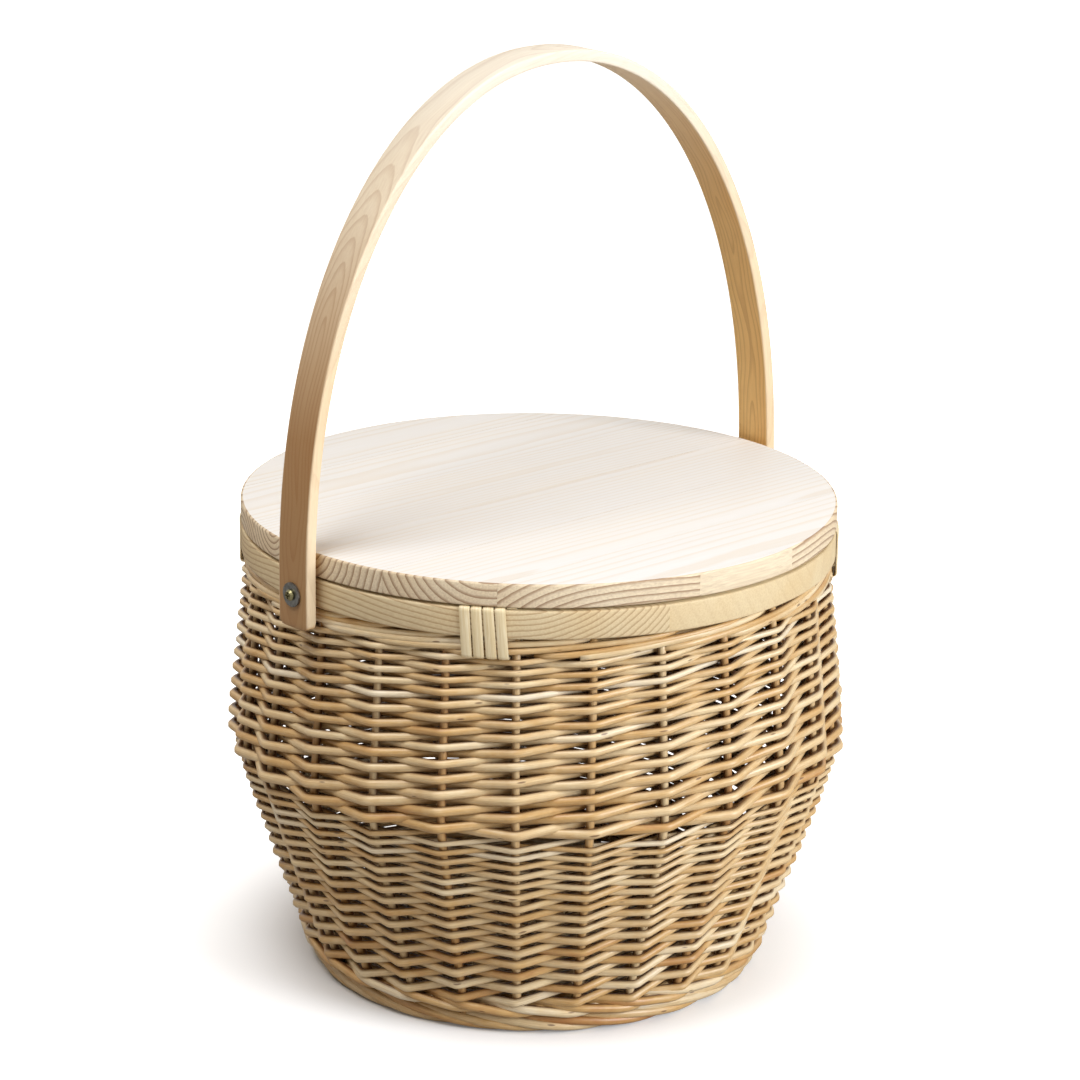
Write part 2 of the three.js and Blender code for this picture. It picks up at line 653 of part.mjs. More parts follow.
// The lid: boards cut from one turned disc at the glue joints, and two battens below
const lidDisc = toSolid(roundedDisc(LID_RADIUS, LID_BOTTOM, LID_BOTTOM + LID_THICKNESS));
const reach = LID_RADIUS + 1;
const joints = [-reach];
for (let y = FIRST_BOARD_WIDTH - LID_RADIUS; y < LID_RADIUS; y += LID_RADIUS / BOARDS_PER_RADIUS) {
  joints.push(y);
}
joints.push(reach);
for (let k = 0; k < joints.length - 1; k++) {
  const [low, high] = [LID_BOTTOM - 1, LID_BOTTOM + LID_THICKNESS + 1];
  const slab = boxSolid(-reach, reach, joints[k], joints[k + 1], low, high);
  place(`lid_board_${k + 1}`, toGeometry(lidDisc.intersect(slab)), materials.pine);
}
const battenTop = LID_BOTTOM - SEAT_GAP;
const battenDisc = toSolid(turned([
  [0, battenTop - BATTEN_THICKNESS],
  [RING_INNER - BATTEN_CLEARANCE, battenTop - BATTEN_THICKNESS],
  [RING_INNER - BATTEN_CLEARANCE, battenTop],
  [0, battenTop],
], DISC_SEGMENTS));
for (const [name, x] of [['lid_batten_left', -BATTEN_X], ['lid_batten_right', BATTEN_X]]) {
  const half = BATTEN_WIDTH / 2;
  const strip = boxSolid(x - half, x + half, -reach, reach, battenTop - BATTEN_THICKNESS - 1, battenTop + 1);
  place(name, toGeometry(battenDisc.intersect(strip)), materials.pine);
}

export default basket;
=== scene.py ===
import math

import bmesh
import bpy
import numpy as np
from mathutils import Matrix, Vector


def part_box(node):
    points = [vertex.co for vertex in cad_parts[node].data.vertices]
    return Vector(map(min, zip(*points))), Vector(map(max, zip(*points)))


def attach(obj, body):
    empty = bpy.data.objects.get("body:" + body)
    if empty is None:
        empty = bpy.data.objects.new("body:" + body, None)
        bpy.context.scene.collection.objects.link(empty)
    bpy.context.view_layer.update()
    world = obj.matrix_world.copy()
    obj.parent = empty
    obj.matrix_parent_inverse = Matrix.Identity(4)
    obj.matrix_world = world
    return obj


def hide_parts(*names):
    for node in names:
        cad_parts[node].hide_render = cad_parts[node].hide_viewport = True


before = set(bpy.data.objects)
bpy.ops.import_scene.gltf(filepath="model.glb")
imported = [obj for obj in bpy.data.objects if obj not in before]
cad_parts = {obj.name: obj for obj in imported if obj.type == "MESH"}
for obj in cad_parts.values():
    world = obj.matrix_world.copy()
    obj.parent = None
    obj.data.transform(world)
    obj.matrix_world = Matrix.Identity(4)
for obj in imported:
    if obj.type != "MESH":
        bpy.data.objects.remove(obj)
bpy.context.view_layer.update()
rng = np.random.default_rng(seed=7)
TURN = 2 * math.pi


def box(node):
    """Lowest and highest corner of a solid, rounded to a thousandth of a millimetre."""
    return [[round(value, 6) for value in corner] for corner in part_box(node)]


stake_low, stake_high = box("stake_01")
ring_low, ring_high = box("rim_ring")
board_low, board_high = box("lid_board_4")
strap_low, strap_high = box("handle_strap")

# Woven wall
FOOT_RADIUS = 0.1388
SHOULDER_RADIUS = 0.190
SHOULDER_HEIGHT = 0.146
SHOULDER_SOFTNESS = 0.001
NECK_RADIUS = 0.178
WALL_BOTTOM = stake_low[2]
WALL_TOP = stake_high[2]
STAKE_COUNT = 26
STAKE_RADIUS = 0.0024
STAKE_PHASE = math.radians(2.3)
BAY = TURN / STAKE_COUNT
# How deep the stakes' centre lines lie in the wall, at four heights
DEPTH_HEIGHTS = (0.010, 0.110, 0.150, 0.250)
STAKE_DEPTHS = (0.0070, 0.0064, 0.0073, 0.0058)
# Room between a rod and the stake that it passes
ROD_GAP = 0.0003
# Corners of a many-sided rod stand out by this share, so that its mean thickness is about right
ROD_CORNERS = 1.03
# Unevenness of the rods: thickness from rod to rod, and angle at a stake
THICKNESS_SPREAD = 0.04
ANGLE_SPREAD = 0.003

# Tones of the rods, from 0 for brown to 1 for pale
ROD_TONE = 0.52
TONE_SPREAD = 0.13
BROWN_SHARE = 0.08
BROWN_STEP = 0.35

# Ring and lid
LID_RADIUS = ring_high[0]
RING_INNER = 0.155
RING_BOTTOM = ring_low[2]
RING_TOP = ring_high[2]
RING_JOINTS = (-0.056, 0.064)
LID_BOTTOM = board_low[2]
LID_TOP = board_high[2]
BOARD_WIDTH = 0.060
FIRST_JOINT = -0.176
BOARD_COUNT = 7
HALF_GLUE_LINE = 0.00006

# Handle: straight legs up to the arch, whose outline is a superellipse
HANDLE_THICKNESS = 0.007
HANDLE_WIDTH = strap_high[1] - strap_low[1]
HANDLE_MIDDLE_X = strap_high[0] - HANDLE_THICKNESS / 2
HANDLE_BOTTOM = strap_low[2]
HANDLE_TOP = strap_high[2]
ARCH_START_Z = 0.2793
ARCH_POWER = 2.1

# Camera of the photograph
VIEW_TURN = math.radians(42.60)
VIEW_ELEVATION = 0.3053
VIEW_DISTANCE = 2.2442
VIEW_ROLL = 0.0127
VIEW_TARGET = (0.0008, 0.2636)
SENSOR_WIDTH = 36
LENS = 123.24


# Materials
def rgb(red, green, blue):
    """A colour written as screen values from 0 to 255, as the shader's linear values."""
    out = []
    for value in (red, green, blue):
        v = value / 255
        out.append(v / 12.92 if v <= 0.04045 else ((v + 0.055) / 1.055) ** 2.4)
    return (*out, 1.0)


class Shader:
    """A material made of nodes, with a short call for each kind of node that most materials need."""

    def __init__(self, name, roughness, specular=0.5):
        self.material = bpy.data.materials.new(name)
        self.material.use_nodes = True
        self.tree = self.material.node_tree
        self.surface = self.tree.nodes["Principled BSDF"]
        self.surface.inputs["Roughness"].default_value = roughness
        self.surface.inputs["Specular IOR Level"].default_value = specular

    def node(self, kind, inputs=None, **settings):
        made = self.tree.nodes.new(kind)
        for key, value in settings.items():
            setattr(made, key, value)
        for key, value in (inputs or {}).items():
            self.put(value, made.inputs[key])
        return made

    def put(self, value, socket):
        if isinstance(value, bpy.types.NodeSocket):
            self.tree.links.new(value, socket)
        else:
            socket.default_value = value

    def math(self, operation, a, b=0.0, c=0.0):
        return self.node("ShaderNodeMath", {0: a, 1: b, 2: c}, operation=operation).outputs[0]

    def swung(self, value, noise, size):
        """The value moved up and down by a noise, by size from its lowest to its highest."""
        return self.math("MULTIPLY_ADD", self.math("SUBTRACT", noise, 0.5), size, value)

    def attribute(self, name):
        return self.node("ShaderNodeAttribute", attribute_name=name).outputs["Vector"]

    def place(self):
        return self.node("ShaderNodeTexCoord").outputs["Object"]

    def split(self, vector):
        return self.node("ShaderNodeSeparateXYZ", {0: vector}).outputs[:]

    def scaled(self, vector, scale):
        inputs = {"Vector": vector, "Scale": scale}
        return self.node("ShaderNodeMapping", inputs).outputs["Vector"]

    def noise(self, vector, scale=1.0, detail=2.0, roughness=0.5):
        inputs = {"Vector": vector, "Scale": scale, "Detail": detail, "Roughness": roughness}
        return self.node("ShaderNodeTexNoise", inputs).outputs["Fac"]

    def ramp(self, factor, stops):
        made = self.node("ShaderNodeValToRGB", {"Fac": factor})
        elements = made.color_ramp.elements
        while len(elements) < len(stops):
            elements.new(0.5)
        for element, (place, colour) in zip(elements, stops):
            element.position = place
            element.color = colour
        return made.outputs["Color"]

    def levels(self, value, low, high, out_low=0.0, out_high=1.0):
        inputs = {"Value": value, 1: low, 2: high, 3: out_low, 4: out_high}
        return self.node("ShaderNodeMapRange", inputs, clamp=True).outputs["Result"]

    def mix(self, factor, a, b, blend="MIX"):
        made = self.node("ShaderNodeMix", data_type="RGBA", blend_type=blend)
        self.put(factor, made.inputs[0])
        self.put(a, made.inputs[6])
        self.put(b, made.inputs[7])
        return made.outputs[2]

    def bump(self, height, distance, strength):
        inputs = {"Height": height, "Distance": distance, "Strength": strength}
        self.put(self.node("ShaderNodeBump", inputs).outputs["Normal"], self.surface.inputs["Normal"])

    def colour(self, value):
        self.put(value, self.surface.inputs["Base Color"])


# Browns of the willow: its fibres, buds and bark stain, and the shade between the rods
FIBRE_BROWN = rgb(150, 104, 58)
BUD_BROWN = rgb(92, 52, 26)
STAIN_BROWN = rgb(166, 96, 48)
SHADE_BROWN = rgb(96, 52, 18)


def willow(name, stops):
    """Peeled rod: a tone by rod, colour that drifts along it, fine fibres, buds and faint bark stain."""
    roughness = 0.36
    shader = Shader(name, roughness, 0.55)
    rod = shader.attribute("rod")
    tone = shader.node("ShaderNodeAttribute", attribute_name="tone").outputs["Fac"]
    drift = shader.noise(shader.scaled(rod, (90, 90, 22)))
    streak = shader.noise(shader.scaled(rod, (1500, 1500, 45)), 1.0, 3.0, 0.6)
    mottle = shader.noise(shader.scaled(rod, (420, 420, 160)), 1.0, 3.0, 0.6)
    shade = shader.swung(tone, drift, 0.65)
    shade = shader.swung(shade, mottle, 0.35)
    colour = shader.ramp(shade, stops)
    fibres = shader.levels(streak, 0.3, 0.75, 0.35, 0.0)
    colour = shader.mix(fibres, colour, FIBRE_BROWN, "MULTIPLY")
    cells = {"Vector": shader.scaled(rod, (170, 170, 42)), "Scale": 1.0, "Randomness": 1.0}
    nearest = shader.node("ShaderNodeTexVoronoi", cells).outputs["Distance"]
    colour = shader.mix(shader.levels(nearest, 0.07, 0.12, 0.75, 0.0), colour, BUD_BROWN)
    stain = shader.noise(shader.scaled(rod, (60, 60, 9)))
    stain = shader.math("MULTIPLY", shader.levels(stain, 0.66, 0.76), shader.levels(mottle, 0.35, 0.7))
    colour = shader.mix(shader.math("MULTIPLY", stain, 0.55), colour, STAIN_BROWN)
    shader.colour(shader.mix(inner_shade(shader, rod), colour, SHADE_BROWN))
    rough = shader.levels(streak, 0.2, 0.8, roughness + 0.12, roughness - 0.05)
    shader.put(rough, shader.surface.inputs["Roughness"])
    shader.bump(shader.math("ADD", streak, mottle), 0.00016, 0.5)
    return shader.material


def inner_shade(shader, rod):
    """Shade between the rods: none on a rod's outer face, most on its flanks, little on its inner face."""
    split = shader.split(rod)
    squares = [shader.math("MULTIPLY", split[k], split[k]) for k in (0, 1)]
    radius = shader.math("SQRT", shader.math("ADD", *squares))
    outward = shader.math("DIVIDE", split[0], radius)
    gaps = shader.levels(outward, -0.05, 0.65, 0.9, 0.0)
    return shader.math("MULTIPLY", gaps, shader.levels(outward, -0.95, -0.6, 0.2, 1.0))


ROD_STOPS = [
    (0.0, rgb(186, 128, 70)),
    (0.3, rgb(213, 175, 114)),
    (0.65, rgb(237, 216, 172)),
    (1.0, rgb(249, 241, 218)),
]
STAKE_STOPS = [
    (0.0, rgb(170, 116, 62)),
    (0.4, rgb(212, 174, 116)),
    (1.0, rgb(238, 218, 174)),
]


def cut_wood(name, colour, dark):
    """Cut end of a rod: pale pith with a rough face."""
    shader = Shader(name, 0.8, 0.2)
    grain = shader.noise(shader.place(), 900.0, 3.0, 0.7)
    shader.colour(shader.mix(shader.levels(grain, 0.3, 0.7), colour, dark))
    shader.bump(grain, 0.0003, 0.6)
    return shader.material


# One growth ring, from its early wood to the end of its late wood, as how dark it is
RING_TONES = [(0.0, 0.0), (0.55, 0.10), (0.80, 0.75), (0.93, 1.0), (1.0, 0.0)]


def growth_rings(shader, along, side, up, wander, density):
    """Late wood of the rings round the tree's heart, fibres along the board, and its cloudy tone."""
    moved = shader.node("ShaderNodeCombineXYZ", {0: along, 1: side, 2: up}).outputs[0]
    slow = shader.noise(shader.scaled(moved, (5, 18, 18)))
    quick = shader.noise(shader.scaled(moved, (30, 170, 170)), 1.0, 3.0, 0.6)
    squares = shader.math("ADD", shader.math("MULTIPLY", side, side), shader.math("MULTIPLY", up, up))
    far = shader.swung(shader.math("SQRT", squares), slow, wander)
    far = shader.swung(far, quick, 0.0009)
    rings = shader.math("MULTIPLY", far, density)
    grey = [(place, (tone, tone, tone, 1)) for place, tone in RING_TONES]
    late = shader.ramp(shader.math("FRACT", rings), grey)
    fibre = shader.noise(shader.scaled(moved, (26, 950, 950)), 1.0, 3.0, 0.65)
    cloud = shader.noise(shader.scaled(moved, (6, 30, 30)), 1.0, 3.0)
    return late, fibre, cloud


def pine_colour(shader, wood, pale, line, contrast):
    """Gives the surface its late wood, fibres and clouds; wood is what growth_rings returns."""
    late, fibre, cloud = wood
    colour = shader.mix(shader.math("MULTIPLY", late, contrast), pale, line)
    colour = shader.mix(shader.levels(fibre, 0.35, 0.75, 0.0, contrast * 0.4), colour, line)
    shader.colour(shader.mix(shader.levels(cloud, 0.35, 0.7, 0.0, 0.3), colour, line, "SOFT_LIGHT"))
    shader.bump(shader.math("MULTIPLY_ADD", late, 0.6, fibre), 0.00012, 0.3)
    return shader.material


def pine_boards(name, across, pale, line, contrast):
    """Boards that lie across the axis given, each with the heart of its own tree."""
    shader = Shader(name, 0.55, 0.35)
    split = shader.split(shader.place())
    heart_side, heart_up, density = shader.split(shader.attribute("heart"))
    side = shader.math("SUBTRACT", split[across], heart_side)
    up = shader.math("SUBTRACT", split[2], heart_up)
    along = shader.math("ADD", split[1 - across], shader.math("MULTIPLY", heart_side, 37.0))
    late, fibre, cloud = growth_rings(shader, along, side, up, 0.006, density)
    # Boards with wide rings are the smooth ones
    late = shader.math("MULTIPLY", late, shader.levels(density, 130, 190, 0.12, 1.0))
    return pine_colour(shader, (late, fibre, cloud), pale, line, contrast)


# The strap's wood, with painted light and shade: paler towards the top of the arch where the light falls,
# and painted shade that is browner outside and more yellow inside low down
ARCH_PAINTED_LIGHT = rgb(242, 236, 222)
OUTER_PAINTED_SHADE = rgb(158, 113, 58)
INNER_PAINTED_SHADE = rgb(228, 182, 100)


def strap_wood(name, pale, line, contrast):
    """A bent strap cut near the heart, whose depth under the face changes along it in long loops."""
    shader = Shader(name, 0.48, 0.4)
    along, across, out = shader.split(shader.attribute("wood"))
    lengthwise = shader.node("ShaderNodeCombineXYZ", {0: along}).outputs[0]
    dive = shader.noise(shader.scaled(lengthwise, (3.4, 1, 1)), 1.0, 1.0)
    drift = shader.noise(shader.scaled(lengthwise, (9, 1, 1)), 1.7, 1.0)
    side = shader.swung(across, drift, 0.012)
    up = shader.math("ADD", shader.swung(out, dive, 0.085), 0.006)
    late, fibre, cloud = growth_rings(shader, along, side, up, 0.002, 360.0)
    face = shader.levels(shader.math("ABSOLUTE", across), 0.0115, 0.0127, 1.0, 0.0)
    outside = shader.math("MULTIPLY", face, shader.levels(out, -0.003, 0.003))
    inside = shader.math("SUBTRACT", face, outside)
    height = shader.split(shader.place())[2]
    # Painted light: the wood pales towards the top of the arch, where the light falls.
    pale = shader.mix(shader.levels(height, 0.40, 0.55, 0.0, 0.85), pale, ARCH_PAINTED_LIGHT)
    # Painted shade: brown on the strap's outer face and yellow on its inner face, strongest low down.
    outside = shader.math("MULTIPLY", outside, shader.levels(height, 0.36, 0.49, 0.85, 0.0))
    inside = shader.math("MULTIPLY", inside, shader.levels(height, 0.45, 0.55, 0.8, 0.4))
    pale = shader.mix(outside, pale, OUTER_PAINTED_SHADE)
    pale = shader.mix(inside, pale, INNER_PAINTED_SHADE)
    late = shader.math("MULTIPLY", late, shader.levels(face, 0.0, 1.0, 0.35, 1.0))
    # The grain fades towards the top of the arch, together with the painted light there.
    late = shader.math("MULTIPLY", late, shader.levels(height, 0.42, 0.54, 1.0, 0.45))
    return pine_colour(shader, (late, fibre, cloud), pale, line, contrast)


def metal(name, colour, roughness, dark):
    """Turned metal: fine rubbed marks, darker in patches."""
    shader = Shader(name, roughness)
    shader.surface.inputs["Metallic"].default_value = 1.0
    rub = shader.noise(shader.scaled(shader.place(), (900, 2600, 2600)), 1.0, 3.0, 0.6)
    cloud = shader.noise(shader.place(), 260.0, 3.0, 0.6)
    shader.colour(shader.mix(shader.levels(cloud, 0.35, 0.7), colour, dark))
    rough = shader.levels(rub, 0.3, 0.7, roughness - 0.08, roughness + 0.14)
    shader.put(rough, shader.surface.inputs["Roughness"])
    shader.bump(rub, 0.00005, 0.4)
    return shader.material


def cane_skin(name):
    """Flat cane: glossy skin with lengthwise fibres and a cloudy tone."""
    shader = Shader(name, 0.36, 0.5)
    rod = shader.attribute("rod")
    fibre = shader.noise(shader.scaled(rod, (1400, 1400, 40)), 1.0, 3.0, 0.6)
    cloud = shader.noise(shader.scaled(rod, (160, 160, 50)))
    colour = shader.mix(shader.levels(fibre, 0.3, 0.75), rgb(240, 228, 196), rgb(208, 184, 136))
    shader.colour(shader.mix(shader.levels(cloud, 0.3, 0.75, 0.0, 0.5), colour, rgb(222, 200, 150)))
    shader.bump(fibre, 0.00012, 0.5)
    return shader.material


ROD = willow("willow_rod", ROD_STOPS)
STAKE = willow("willow_stake", STAKE_STOPS)
ROD_END = cut_wood("rod_end", rgb(236, 220, 186), rgb(196, 160, 108))
LID_FACE = pine_boards("lid_face", 1, rgb(238, 237, 235), rgb(212, 188, 150), 0.25)
LID_EDGE = pine_boards("lid_edge", 1, rgb(238, 223, 194), rgb(128, 84, 42), 0.75)
RING_FACE = pine_boards("ring_face", 0, rgb(223, 206, 168), rgb(146, 100, 48), 0.55)
HANDLE_WOOD = strap_wood("handle_wood", rgb(236, 216, 182), rgb(150, 102, 56), 0.36)
CANE = cane_skin("cane_skin")
STEEL = metal("washer_steel", rgb(138, 138, 134), 0.34, rgb(98, 96, 90))
BRASS = metal("screw_brass", rgb(150, 142, 104), 0.32, rgb(98, 90, 62))


# Mesh making
def mesh_object(name, points, faces, materials, smooth, attributes, indices=None):
    """An object of the faces given, with a value or vector by point for each attribute."""
    mesh = bpy.data.meshes.new(name)
    mesh.from_pydata([tuple(p) for p in points], [], faces)
    for material in materials:
        mesh.materials.append(material)
    mesh.polygons.foreach_set("use_smooth", smooth)
    if indices is not None:
        mesh.polygons.foreach_set("material_index", indices)
    for key, values in attributes.items():
        values = np.asarray(values, np.float32)
        kind = "FLOAT" if values.ndim == 1 else "FLOAT_VECTOR"
        layer = mesh.attributes.new(key, kind, "POINT")
        layer.data.foreach_set("value" if values.ndim == 1 else "vector", values.ravel())
    mesh.update()
    made = bpy.data.objects.new(name, mesh)
    bpy.context.scene.collection.objects.link(made)
    return made


def tube_faces(count, size):
    """Faces of a tube of count sections with size points each: its sides, then its two ends."""
    faces = []
    for row in range(0, (count - 1) * size, size):
        for k in range(size):
            q = (k + 1) % size
            faces.append((row + k, row + q, row + size + q, row + size + k))
    faces.append(tuple(reversed(range(size))))
    faces.append(tuple(range((count - 1) * size, count * size)))
    return faces


def finish_piece(piece, body, node):
    """The piece moves with the body and stands for the node, which is hidden."""
    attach(piece, body)
    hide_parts(node)


class Rods:
    """Collects round rods along paths, and makes them one mesh.

    Each point knows its place in its rod: outwards from the basket's axis, across and along."""

    def __init__(self, sides=8):
        self.sides = sides
        self.points, self.faces, self.smooth, self.index = [], [], [], []
        self.rod, self.tone = [], []
        self.count = 0

    def add(self, path, radii, tone, away=None):
        """away is the outward direction by point, or None where that is away from the basket's axis."""
        path = np.asarray(path, float)
        radii = np.broadcast_to(np.asarray(radii, float), len(path))
        step = np.gradient(path, axis=0)
        step /= np.linalg.norm(step, axis=1, keepdims=True)
        if away is None:
            away = path * (1, 1, 0)
        away = away - np.sum(away * step, axis=1, keepdims=True) * step
        away /= np.linalg.norm(away, axis=1, keepdims=True)
        over = np.cross(step, away)
        angle = np.arange(self.sides) * TURN / self.sides + math.pi / self.sides
        c, s = np.cos(angle), np.sin(angle)
        ring = away[:, None] * c[None, :, None] + over[:, None] * s[None, :, None]
        points = path[:, None] + ring * radii[:, None, None] * ROD_CORNERS
        along = np.concatenate([[0], np.cumsum(np.linalg.norm(np.diff(path, axis=0), axis=1))])
        along = along + rng.uniform(0, 5)
        local = np.zeros_like(points)
        local[:, :, 0] = radii[:, None] * c
        local[:, :, 1] = radii[:, None] * s
        local[:, :, 2] = along[:, None]
        n, m, base = len(path), self.sides, self.count
        self.faces += [tuple(base + k for k in face) for face in tube_faces(n, m)]
        self.smooth += [True] * ((n - 1) * m) + [False, False]
        self.index += [0] * ((n - 1) * m) + [1, 1]
        self.points.append(points.reshape(-1, 3))
        self.rod.append(local.reshape(-1, 3))
        self.tone.append(np.repeat(np.broadcast_to(tone, n), m))
        self.count += n * m

    def make(self, name, material):
        attributes = {"rod": np.concatenate(self.rod), "tone": np.concatenate(self.tone)}
        points = np.concatenate(self.points)
        materials = [material, ROD_END]
        return mesh_object(name, points, self.faces, materials, self.smooth, attributes, self.index)


def bent(corners, radii, reach, steps=4):
    """A path that is straight between its corners and bends over a short reach at each of them, which
    takes up at most a share of the straight."""
    most = 0.45
    corners = np.asarray(corners, float)
    radii = np.asarray(radii, float)
    path, sizes = [corners[0]], [radii[0]]
    for k in range(1, len(corners) - 1):
        back = corners[k - 1] - corners[k]
        ahead = corners[k + 1] - corners[k]
        reach_back = min(reach, most * np.linalg.norm(back))
        reach_ahead = min(reach, most * np.linalg.norm(ahead))
        start = corners[k] + back / np.linalg.norm(back) * reach_back
        end = corners[k] + ahead / np.linalg.norm(ahead) * reach_ahead
        for t in np.linspace(0, 1, steps):
            path.append(start * (1 - t) ** 2 + corners[k] * 2 * t * (1 - t) + end * t**2)
            sizes.append(radii[k])
        path.append((corners[k] + corners[k + 1]) / 2)
        sizes.append((radii[k] + radii[k + 1]) / 2)
    path.append(corners[-1])
    sizes.append(radii[-1])
    return np.array(path), np.array(sizes)


# The woven wall
def wall_radius(z):
    flare = FOOT_RADIUS + (SHOULDER_RADIUS - FOOT_RADIUS) * z / SHOULDER_HEIGHT
    above = (z - SHOULDER_HEIGHT) / (WALL_TOP - SHOULDER_HEIGHT)
    taper = SHOULDER_RADIUS + (NECK_RADIUS - SHOULDER_RADIUS) * above
    return (flare + taper) / 2 - np.hypot((flare - taper) / 2, SHOULDER_SOFTNESS)


def stake_radius(z):
    return wall_radius(z) - np.interp(z, DEPTH_HEIGHTS, STAKE_DEPTHS)


def polar(radius, angle, z):
    return np.array([radius * math.cos(angle), radius * math.sin(angle), z])


def stake_angle(index):
    return STAKE_PHASE + BAY * index


def beside_stake(angle, z, radius, front):
    """Centre of a rod that touches the stake: in front of it at height z, or behind it where the
    wall's slope takes it. front is 1 for in front and -1 for behind."""
    span = 0.004
    lean = math.atan2(wall_radius(z + span / 2) - wall_radius(z - span / 2), span)
    clear = STAKE_RADIUS + radius + ROD_GAP
    z_stake = z + clear * math.sin(lean)
    out = stake_radius(z_stake) + front * clear * math.cos(lean)
    return polar(out, angle, z_stake - front * clear * math.sin(lean))


# Slow swings of the courses: their number round the wall, their run up it, their start and their height
COURSE_SWINGS = ((2, 31, 0.0, 0.0006), (5, -47, 1.7, 0.0004), (9, 90, 0.0, 0.0003))
# How much more room the courses have at the thick butts than at the thin tips
BUTT_ROOM = 0.25


def wave(angle, z):
    """Drift of the courses from dead level, the same for all the rods at one place."""
    swings = [size * math.sin(n * angle + run * z + start) for n, run, start, size in COURSE_SWINGS]
    return sum(swings)


def course_height(first, last, count, course):
    """Courses lie far apart over the thick butts and close over the thin tips."""
    along = course / (count - 1)
    return first + (last - first) * along * (1 + BUTT_ROOM * (1 - along))


def rod_tone():
    """Most rods are near one tone, and a few are browner."""
    tone = rng.normal(ROD_TONE, TONE_SPREAD)
    if rng.random() < BROWN_SHARE:
        tone -= BROWN_STEP
    return np.clip(tone, 0.02, 0.98)


def siding(node, heights, courses, lead_in, butt, taper, bend, loose, brown):
    """French randing: every rod starts in a bay of its own, goes in front of one stake and behind the next.

    heights are those of the first and last course. lead_in is how many stakes a rod passes below the
    first course, butt the thickness of its thick end, taper what it loses in a course, bend half the
    length that turns at a stake, loose the unevenness of the courses, and brown how dark the butts are."""
    rods = Rods()
    for start in range(STAKE_COUNT):
        size = rng.normal(1.0, THICKNESS_SPREAD)
        tone = rod_tone()
        corners, radii = [], []
        for k in range(-lead_in, 2 * courses):
            angle = stake_angle(start + k)
            z = course_height(*heights, courses, k / 2)
            z += wave(angle, z) + rng.normal(0, loose)
            radius = (butt - taper * k / 2) * size / 2
            front = 1 if k % 2 == 0 else -1
            corners.append(beside_stake(angle + rng.normal(0, ANGLE_SPREAD), z, radius, front))
            radii.append(radius)
        lead = corners[0] + (corners[0] - corners[1]) * 0.3
        tail = corners[-1] + (corners[-1] - corners[-2]) * 0.2
        path, sizes = bent([lead, *corners, tail], [radii[0], *radii, radii[-1] * 0.8], bend)
        rods.add(path, sizes, tone - brown * np.linspace(1, 0, len(path)) ** 3)
    finish_piece(rods.make(f"{node}_rods", ROD), "basket", node)


siding(
    "upper_siding",
    heights=(0.1458, 0.2467),
    courses=13,
    lead_in=1,
    butt=0.0059,
    taper=0.000175,
    bend=0.0034,
    loose=0.0004,
    brown=0.22,
)
siding(
    "lower_siding",
    heights=(0.0322, 0.1351),
    courses=14,
    lead_in=3,
    butt=0.0052,
    taper=0.000130,
    bend=0.0024,
    loose=0.0002,
    brown=0.1,
)


def stake_rods():
    """Upright rods through the whole wall, a little thicker at the foot and not quite straight."""
    zones = ((WALL_BOTTOM, 0.130, 9), (0.138, 0.156, 5), (0.17, WALL_TOP, 7))
    heights = np.concatenate([np.linspace(*zone) for zone in zones])
    thickness = STAKE_RADIUS * np.linspace(1.12, 1.0, len(heights))
    sway, mean_radius = 0.0006, 0.18
    for index in range(STAKE_COUNT):
        slow, quick, _ = rng.normal(0, sway, 3)
        path = []
        for z in heights:
            t = z / WALL_TOP
            turn = (slow * math.sin(3 * t) + quick * math.sin(7 * t + 1)) / mean_radius
            path.append(polar(stake_radius(z), stake_angle(index) + turn, z))
        rod = Rods()
        rod.add(path, thickness, rng.uniform(0.25, 0.9))
        name = f"stake_{index + 1:02d}"
        finish_piece(rod.make(f"{name}_rod", STAKE), "basket", name)


def bottom_wale():
    """Three-rod wale: every rod goes in front of two stakes and behind the third, three times round."""
    level, row, thickness = 0.0166, 0.0046, 0.0054
    pieces, reach = 6, 0.009
    lifts = (row / 2, -row / 2, 0.0)
    rods = Rods()
    for piece in range(pieces):
        corners, radii = [], []
        size = thickness / 2 * rng.normal(1.0, THICKNESS_SPREAD)
        begin = STAKE_COUNT * piece // pieces * 3 - 1
        end = STAKE_COUNT * (piece + 1) // pieces * 3 - 1
        for k in range(begin, end + 1):
            phase = k % 3
            radius = size * (1 + rng.normal(0, 0.02))
            z = level + lifts[phase] + rng.normal(0, 0.0003)
            corners.append(beside_stake(stake_angle(k), z, radius, -1 if phase == 2 else 1))
            radii.append(radius)
        path, sizes = bent(corners, radii, reach, 5)
        rods.add(path, sizes, np.clip(rng.normal(0.55, 0.15), 0, 1))
    finish_piece(rods.make("bottom_wale_rods", ROD), "basket", "bottom_wale")


def foot_border():
    """One stroke for each stake: over the outside of the foot, down to the right and in underneath."""
    centre, centre_z, swing_out, steps = 0.1334, 0.0064, 0.0032, 20
    rod_radius, span = 0.0031, 2.9
    rods = Rods(10)
    for index in range(STAKE_COUNT):
        radius = rod_radius * rng.normal(1.0, 0.05)
        bays = span * rng.normal(1.0, 0.06)
        begin = stake_angle(index + rng.normal(0.0, 0.1))
        path = []
        for t in np.linspace(0, 1, steps):
            turn = math.radians(75 - 190 * t**1.25)
            swing = swing_out + 0.0003 * math.sin(math.pi * t)
            z = centre_z + swing * math.sin(turn)
            path.append(polar(centre + swing * math.cos(turn), begin + BAY * bays * t, z))
        sizes = np.linspace(radius * 1.1, radius * 0.78, steps)
        rods.add(path, sizes, np.clip(rng.normal(0.5, 0.16), 0, 1))
    finish_piece(rods.make("foot_border_rods", ROD), "basket", "foot_border")


